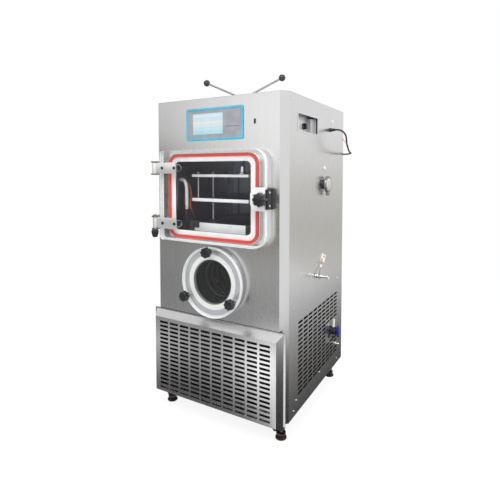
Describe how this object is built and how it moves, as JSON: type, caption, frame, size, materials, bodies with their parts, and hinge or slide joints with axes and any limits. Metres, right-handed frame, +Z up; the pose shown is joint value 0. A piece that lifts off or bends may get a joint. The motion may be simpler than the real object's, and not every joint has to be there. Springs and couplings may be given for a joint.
{
  "type": "freeze dryer",
  "caption": "Floor-standing laboratory freeze dryer: clear hinged chamber door, clear cold-trap cover, stoppering press on top, slotted base on levelling casters.",
  "frame": {"origin": "on the floor, under the middle of the bounding box of everything but the lead", "axes": "+Z up, -Y out of the door and control panel, +X towards the side with the switch recess and valves"},
  "size_m": [0.69, 0.786, 1.3757],
  "materials": {
    "brushed_steel": "vertical brushed stainless sheet",
    "chamber_steel": "satin stainless steel",
    "aluminium": "satin machined aluminium",
    "chrome": "polished stainless steel",
    "acrylic": "clear polished acrylic",
    "red_silicone": "red silicone seal",
    "white_silicone": "white silicone seal",
    "black_phenolic": "black moulded phenolic",
    "black_rubber": "black rubber",
    "blue_plastic": "dark blue moulded plastic",
    "teal_plastic": "teal bezel round a grey face",
    "screen": "lit blue display",
    "black_enamel": "black enamel",
    "copper": "bare copper tube",
    "braided_hose": "braided silicone hose"
  },
  "bodies": {
    "cabinet": {"front_panel": "brushed_steel", "right_side_panel": "brushed_steel", "left_side_panel": "brushed_steel", "rear_cover": "brushed_steel", "top_panel": "brushed_steel", "floor_tray": "brushed_steel", "lower_front_cover": "brushed_steel", "chamber_shell": "chamber_steel", "chamber_gasket": "red_silicone", "bottom_shelf": "chamber_steel", "middle_shelf": "chamber_steel", "shelf_hose": "braided_hose", "hinge_bracket_upper": "aluminium", "hinge_bracket_lower": "aluminium", "hinge_knob": "black_phenolic", "door_catch": "black_enamel", "trap_pot": "chamber_steel", "trap_coil": "copper", "trap_seal": "white_silicone", "trap_cover": "acrylic", "press_column": "brushed_steel", "condenser_core": "aluminium", "fan_motor": "black_enamel", "compressor": "black_enamel", "control_panel": "teal_plastic", "panel_screen": "screen", "service_port": "black_phenolic", "switch_recess": "brushed_steel", "vacuum_port": "chrome", "port_clamp": "chrome", "air_inlet": "chrome", "drain_valve": "black_enamel", "drain_nozzle": "chrome", "side_gland": "black_phenolic", "rear_gland": "black_phenolic", "lead": "black_rubber"},
    "door": {"door_plate": "acrylic", "hinge_strap_upper": "aluminium", "hinge_strap_lower": "aluminium", "latch_plate": "aluminium"},
    "door_knob": {"door_knob": "black_phenolic"},
    "trap_knob_1": {"trap_knob_1": "black_phenolic"},
    "trap_knob_2": {"trap_knob_2": "black_phenolic"},
    "trap_knob_3": {"trap_knob_3": "black_phenolic"},
    "press_handle": {"press_handle": "chrome", "press_ball_left": "black_phenolic", "press_ball_right": "black_phenolic"},
    "press": {"press_ram": "chrome", "press_plate": "chamber_steel"},
    "fan": {"fan": "black_rubber"},
    "main_switch": {"main_switch": "black_phenolic"},
    "drain_handle": {"drain_handle": "blue_plastic"},
    "caster_front_left": {"caster_front_left": "aluminium"},
    "wheel_front_left": {"wheel_front_left": "black_rubber"},
    "caster_front_right": {"caster_front_right": "aluminium"},
    "wheel_front_right": {"wheel_front_right": "black_rubber"},
    "caster_rear_left": {"caster_rear_left": "aluminium"},
    "wheel_rear_left": {"wheel_rear_left": "black_rubber"},
    "caster_rear_right": {"caster_rear_right": "aluminium"},
    "wheel_rear_right": {"wheel_rear_right": "black_rubber"}
  },
  "joints": [
    {"name": "door_hinge", "type": "hinge", "parent": "cabinet", "child": "door", "pos_m": [-0.27351, -0.33845, 0.886], "axis": [0, 0, -1], "range_deg": [0, 120]},
    {"name": "door_knob_turn", "type": "hinge", "parent": "door", "child": "door_knob", "pos_m": [0.21549, -0.35345, 0.886], "axis": [0, -1, 0], "continuous": true},
    {"name": "trap_knob_1_turn", "type": "hinge", "parent": "cabinet", "child": "trap_knob_1", "pos_m": [-0.01451, -0.33845, 0.681], "axis": [0, -1, 0], "continuous": true},
    {"name": "trap_knob_2_turn", "type": "hinge", "parent": "cabinet", "child": "trap_knob_2", "pos_m": [-0.11756, -0.33845, 0.5025], "axis": [0, -1, 0], "continuous": true},
    {"name": "trap_knob_3_turn", "type": "hinge", "parent": "cabinet", "child": "trap_knob_3", "pos_m": [0.08855, -0.33845, 0.5025], "axis": [0, -1, 0], "continuous": true},
    {"name": "press_handle_turn", "type": "hinge", "parent": "cabinet", "child": "press_handle", "pos_m": [-0.01451, -0.07745, 1.29], "axis": [0, 0, 1], "range_deg": [0, 4320]},
    {"name": "press_slide", "type": "slide", "parent": "cabinet", "child": "press", "axis": [0, 0, -1], "range_m": [0, 0.0601]},
    {"name": "fan_spin", "type": "hinge", "parent": "cabinet", "child": "fan", "pos_m": [-0.01451, -0.18715, 0.2218], "axis": [0, 1, 0], "continuous": true},
    {"name": "main_switch_turn", "type": "hinge", "parent": "cabinet", "child": "main_switch", "pos_m": [0.26249, -0.07245, 1.157], "axis": [1, 0, 0], "range_deg": [0, 90]},
    {"name": "drain_handle_turn", "type": "hinge", "parent": "cabinet", "child": "drain_handle", "pos_m": [0.31549, 0.19355, 0.264], "axis": [1, 0, 0], "range_deg": [0, 90]},
    {"name": "caster_front_left_swivel", "type": "hinge", "parent": "cabinet", "child": "caster_front_left", "pos_m": [-0.27251, -0.24145, 0.04], "axis": [0, 0, 1], "continuous": true},
    {"name": "caster_front_right_swivel", "type": "hinge", "parent": "cabinet", "child": "caster_front_right", "pos_m": [0.24349, -0.24145, 0.04], "axis": [0, 0, 1], "continuous": true},
    {"name": "caster_rear_left_swivel", "type": "hinge", "parent": "cabinet", "child": "caster_rear_left", "pos_m": [-0.27251, 0.29455, 0.04], "axis": [0, 0, 1], "continuous": true},
    {"name": "caster_rear_right_swivel", "type": "hinge", "parent": "cabinet", "child": "caster_rear_right", "pos_m": [0.24349, 0.29455, 0.04], "axis": [0, 0, 1], "continuous": true},
    {"name": "wheel_front_left_spin", "type": "hinge", "parent": "caster_front_left", "child": "wheel_front_left", "pos_m": [-0.30639, -0.21498, 0.027], "axis": [0.6157, 0.788, 0], "continuous": true},
    {"name": "wheel_front_right_spin", "type": "hinge", "parent": "caster_front_right", "child": "wheel_front_right", "pos_m": [0.20961, -0.21498, 0.027], "axis": [0.6157, 0.788, 0], "continuous": true},
    {"name": "wheel_rear_left_spin", "type": "hinge", "parent": "caster_rear_left", "child": "wheel_rear_left", "pos_m": [-0.30639, 0.32102, 0.027], "axis": [0.6157, 0.788, 0], "continuous": true},
    {"name": "wheel_rear_right_spin", "type": "hinge", "parent": "caster_rear_right", "child": "wheel_rear_right", "pos_m": [0.20961, 0.32102, 0.027], "axis": [0.6157, 0.788, 0], "continuous": true}
  ],
  "couplings": [
    {"joint": "press_slide", "follows": "press_handle_turn", "m_per_rad": 0.00079577}
  ]
}
